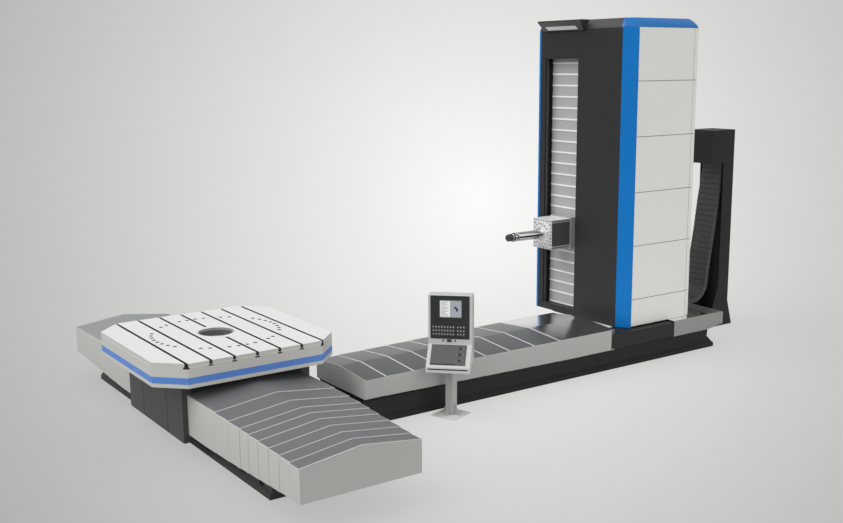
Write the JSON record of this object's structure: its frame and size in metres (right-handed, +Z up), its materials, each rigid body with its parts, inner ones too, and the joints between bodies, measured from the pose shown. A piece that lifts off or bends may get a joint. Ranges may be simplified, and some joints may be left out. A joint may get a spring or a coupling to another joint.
{
  "type": "horizontal boring machine",
  "caption": "Horizontal boring machine: a travelling column with a ram and boring spindle beside a square rotary table on its own bed, both under telescopic steel covers.",
  "frame": {"origin": "on the floor under the middle of the whole machine", "axes": "+Z up; +Y from the rotary table along the column bed to the column; X along the table bed"},
  "size_m": [7.432, 11.615, 5.55],
  "materials": {
    "cast_black": "satin",
    "way_steel": "satin",
    "screw_steel": "gloss",
    "cover_sheet": "satin",
    "table_paint": "satin",
    "blue_paint": "gloss",
    "charcoal_paint": "satin",
    "panel_paint": "satin",
    "slat_steel": "satin",
    "ram_steel": "satin",
    "holder_steel": "gloss",
    "chain_plastic": "matte",
    "lens": "gloss",
    "screen_glass": "gloss",
    "key_plastic": "matte",
    "knob_plastic": "satin",
    "drive_grey": "satin"
  },
  "bodies": {
    "base": {"table_bed": "cast_black", "column_bed": "cast_black", "guide_rails": "way_steel", "feed_screws": "screw_steel", "table_cover_1": "cover_sheet", "column_cover_1": "cover_sheet", "mast": "charcoal_paint", "chain_hood": "charcoal_paint", "energy_chain": "chain_plastic", "console_post": "panel_paint"},
    "table_carriage": {"table_saddle": "cast_black", "saddle_skirts": "cast_black", "table_bearing": "way_steel", "table_drive": "drive_grey", "table_cover_9": "cover_sheet"},
    "turntable": {"rotary_table": "table_paint", "table_band": "blue_paint"},
    "column": {"column_saddle": "cast_black", "column_cover_9": "cover_sheet", "column_frame": "cast_black", "front_cover": "charcoal_paint", "edge_trim": "blue_paint", "side_panels": "panel_paint", "top_cover": "blue_paint", "rear_cover": "panel_paint", "lift_rails": "way_steel", "lift_screw": "screw_steel", "lift_drive": "drive_grey", "work_light": "charcoal_paint", "light_lens": "lens", "upper_apron": "slat_steel", "lower_apron": "slat_steel", "chain_bracket": "charcoal_paint"},
    "head": {"headstock": "cast_black", "ram_wiper": "cover_sheet"},
    "ram_slide": {"ram": "ram_steel", "ram_flange": "ram_steel"},
    "spindle": {"spindle_nose": "screw_steel"},
    "quill": {"boring_spindle": "screw_steel", "tool_holder": "holder_steel"},
    "console_head": {"console_cabinet": "panel_paint", "screen": "screen_glass", "keypad": "key_plastic"},
    "knob_a": {"knob_1": "knob_plastic"},
    "knob_b": {"knob_2": "knob_plastic"},
    "knob_c": {"knob_3": "knob_plastic"},
    "table_box_2": {"table_cover_2": "cover_sheet"},
    "column_box_2": {"column_cover_2": "cover_sheet"},
    "table_box_3": {"table_cover_3": "cover_sheet"},
    "column_box_3": {"column_cover_3": "cover_sheet"},
    "table_box_4": {"table_cover_4": "cover_sheet"},
    "column_box_4": {"column_cover_4": "cover_sheet"},
    "table_box_5": {"table_cover_5": "cover_sheet"},
    "column_box_5": {"column_cover_5": "cover_sheet"},
    "table_box_6": {"table_cover_6": "cover_sheet"},
    "column_box_6": {"column_cover_6": "cover_sheet"},
    "table_box_7": {"table_cover_7": "cover_sheet"},
    "column_box_7": {"column_cover_7": "cover_sheet"},
    "table_box_8": {"table_cover_8": "cover_sheet"},
    "column_box_8": {"column_cover_8": "cover_sheet"}
  },
  "joints": [
    {"name": "table_travel", "type": "slide", "parent": "base", "child": "table_carriage", "axis": [1, 0, 0], "range_m": [-1.75, 1.75]},
    {"name": "column_travel", "type": "slide", "parent": "base", "child": "column", "axis": [0, 1, 0], "range_m": [-2.5, 0], "deforming": ["energy_chain"]},
    {"name": "table_box_2_slide", "type": "slide", "parent": "base", "child": "table_box_2", "axis": [1, 0, 0], "range_m": [-0.2089, 0.2089]},
    {"name": "column_box_2_slide", "type": "slide", "parent": "base", "child": "column_box_2", "axis": [0, 1, 0], "range_m": [-0.2649, 0.02]},
    {"name": "table_box_3_slide", "type": "slide", "parent": "base", "child": "table_box_3", "axis": [1, 0, 0], "range_m": [-0.4048, 0.4048]},
    {"name": "column_box_3_slide", "type": "slide", "parent": "base", "child": "column_box_3", "axis": [0, 1, 0], "range_m": [-0.5883, 0.02]},
    {"name": "table_box_4_slide", "type": "slide", "parent": "base", "child": "table_box_4", "axis": [1, 0, 0], "range_m": [-0.6104, 0.6104]},
    {"name": "column_box_4_slide", "type": "slide", "parent": "base", "child": "column_box_4", "axis": [0, 1, 0], "range_m": [-0.8907, 0.02]},
    {"name": "table_box_5_slide", "type": "slide", "parent": "base", "child": "table_box_5", "axis": [1, 0, 0], "range_m": [-0.8213, 0.8213]},
    {"name": "column_box_5_slide", "type": "slide", "parent": "base", "child": "column_box_5", "axis": [0, 1, 0], "range_m": [-1.1923, 0.02]},
    {"name": "table_box_6_slide", "type": "slide", "parent": "base", "child": "table_box_6", "axis": [1, 0, 0], "range_m": [-1.019, 1.019]},
    {"name": "column_box_6_slide", "type": "slide", "parent": "base", "child": "column_box_6", "axis": [0, 1, 0], "range_m": [-1.4946, 0.02]},
    {"name": "table_box_7_slide", "type": "slide", "parent": "base", "child": "table_box_7", "axis": [1, 0, 0], "range_m": [-1.2025, 1.2025]},
    {"name": "column_box_7_slide", "type": "slide", "parent": "base", "child": "column_box_7", "axis": [0, 1, 0], "range_m": [-1.8202, 0.02]},
    {"name": "table_box_8_slide", "type": "slide", "parent": "base", "child": "table_box_8", "axis": [1, 0, 0], "range_m": [-1.4505, 1.4505]},
    {"name": "column_box_8_slide", "type": "slide", "parent": "base", "child": "column_box_8", "axis": [0, 1, 0], "range_m": [-2.1574, 0.02]},
    {"name": "table_turn", "type": "hinge", "parent": "table_carriage", "child": "turntable", "pos_m": [0, -4.5575, 1.053], "axis": [0, 0, 1], "continuous": true},
    {"name": "head_lift", "type": "slide", "parent": "column", "child": "head", "axis": [0, 0, 1], "range_m": [-0.65, 2.25], "deforming": ["upper_apron", "lower_apron"]},
    {"name": "ram_travel", "type": "slide", "parent": "head", "child": "ram_slide", "axis": [0, -1, 0], "range_m": [-0.2, 0.7]},
    {"name": "spindle_turn", "type": "hinge", "parent": "ram_slide", "child": "spindle", "pos_m": [-0.464, 1.5955, 2.039], "axis": [0, -1, 0], "continuous": true},
    {"name": "quill_travel", "type": "slide", "parent": "spindle", "child": "quill", "axis": [0, -1, 0], "range_m": [-0.48, 0.25]},
    {"name": "console_swivel", "type": "hinge", "parent": "base", "child": "console_head", "pos_m": [1.35, -1.6505, 0.78], "axis": [0, 0, 1], "range_deg": [-15, 60]},
    {"name": "knob_1_turn", "type": "hinge", "parent": "console_head", "child": "knob_a", "pos_m": [1.55092, -1.6394, 0.99886], "axis": [0.5071, -0.4966, 0.7044], "range_deg": [-135, 135]},
    {"name": "knob_2_turn", "type": "hinge", "parent": "console_head", "child": "knob_b", "pos_m": [1.59873, -1.68622, 0.93143], "axis": [0.5071, -0.4966, 0.7044], "range_deg": [-135, 135]},
    {"name": "knob_3_turn", "type": "hinge", "parent": "console_head", "child": "knob_c", "pos_m": [1.64654, -1.73304, 0.864], "axis": [0.5071, -0.4966, 0.7044], "range_deg": [-135, 135]}
  ],
  "couplings": [
    {"joint": "table_box_2_slide", "follows": "table_travel", "ratio": 0.10792},
    {"joint": "column_box_2_slide", "follows": "column_travel", "ratio": 0.09797},
    {"joint": "table_box_3_slide", "follows": "table_travel", "ratio": 0.21987},
    {"joint": "column_box_3_slide", "follows": "column_travel", "ratio": 0.22733},
    {"joint": "table_box_4_slide", "follows": "table_travel", "ratio": 0.33737},
    {"joint": "column_box_4_slide", "follows": "column_travel", "ratio": 0.34826},
    {"joint": "table_box_5_slide", "follows": "table_travel", "ratio": 0.45789},
    {"joint": "column_box_5_slide", "follows": "column_travel", "ratio": 0.4689},
    {"joint": "table_box_6_slide", "follows": "table_travel", "ratio": 0.57085},
    {"joint": "column_box_6_slide", "follows": "column_travel", "ratio": 0.58983},
    {"joint": "table_box_7_slide", "follows": "table_travel", "ratio": 0.67574},
    {"joint": "column_box_7_slide", "follows": "column_travel", "ratio": 0.72006},
    {"joint": "table_box_8_slide", "follows": "table_travel", "ratio": 0.81745},
    {"joint": "column_box_8_slide", "follows": "column_travel", "ratio": 0.85494}
  ]
}
